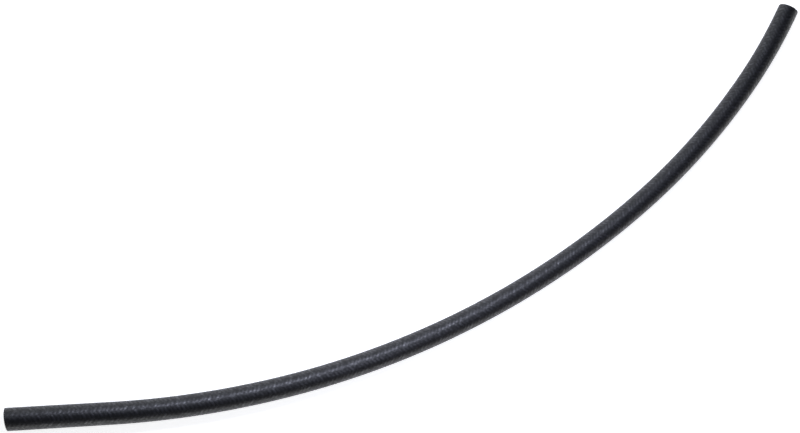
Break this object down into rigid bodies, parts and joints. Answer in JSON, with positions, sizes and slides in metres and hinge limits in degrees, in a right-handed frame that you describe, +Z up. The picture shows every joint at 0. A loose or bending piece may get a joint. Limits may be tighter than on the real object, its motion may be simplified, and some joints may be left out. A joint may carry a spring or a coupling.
{
  "type": "fuel hose",
  "caption": "Length of black rubber fuel hose, bent in a loose curve, with a fine braid pattern pressed into its cover and an open bore at both bare cut ends.",
  "frame": {"origin": "on the floor under the middle of the hose's box", "axes": "+X along the longest extent, the way the hose runs on from its straight end; +Z up from the floor that the hose lies on"},
  "size_m": [0.5302, 0.2594, 0.0137],
  "materials": {
    "rubber": "satin black, with the criss-cross pattern of a braid pressed into the cover"
  },
  "bodies": {
    "root": {"hose": "rubber"}
  },
  "joints": []
}
